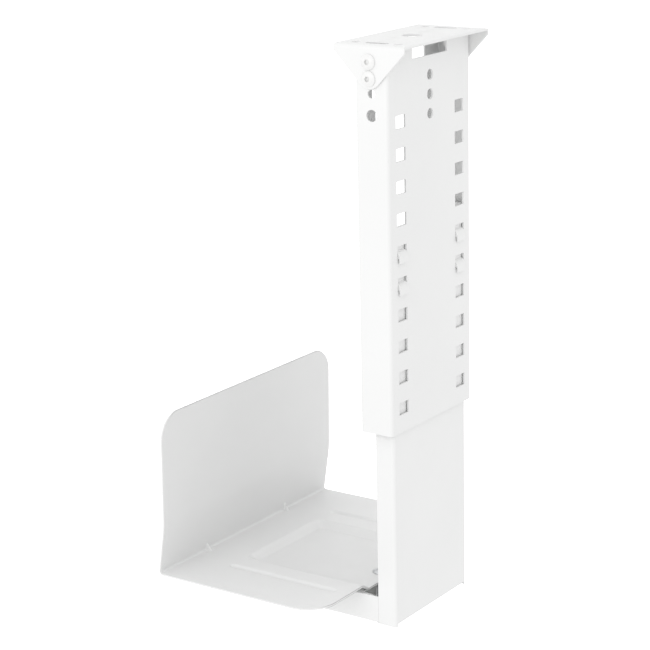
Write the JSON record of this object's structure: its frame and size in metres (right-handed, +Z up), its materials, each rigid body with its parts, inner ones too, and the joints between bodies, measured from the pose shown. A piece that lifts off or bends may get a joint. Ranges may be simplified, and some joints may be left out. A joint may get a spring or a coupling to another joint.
{
  "type": "computer holder",
  "caption": "Under-desk computer holder: a desk plate and slotted channel column, a hooked inner channel that sets the height, and a sliding tray with a side panel.",
  "frame": {"origin": "centre of the desk screw pattern, on the top face of the desk plate", "axes": "+Z up, towards the desk top; +X out of the column's slotted web, away from the computer; Y along the tray and the desk plate"},
  "size_m": [0.2076, 0.238, 0.4726],
  "materials": {
    "white_steel": "white powder coat, satin, fine orange peel",
    "white_screw": "white painted screw heads, semi gloss",
    "zinc_steel": "bright zinc plated"
  },
  "bodies": {
    "hanger": {"mounting_bracket": "white_steel", "outer_column": "white_steel", "bracket_screws": "white_screw", "bracket_nuts": "zinc_steel"},
    "drop_column": {"inner_column": "white_steel", "foot_channel": "white_steel"},
    "tray_unit": {"tray": "white_steel", "tray_rail": "white_steel", "clamp_screws": "zinc_steel", "clamp_washers": "zinc_steel", "clamp_nuts": "zinc_steel"}
  },
  "joints": [
    {"name": "height_slide", "type": "slide", "parent": "hanger", "child": "drop_column", "axis": [0, 0, 1], "range_m": [-0.1, 0.05]},
    {"name": "width_slide", "type": "slide", "parent": "drop_column", "child": "tray_unit", "axis": [-1, 0, 0], "range_m": [0, 0.07]}
  ]
}
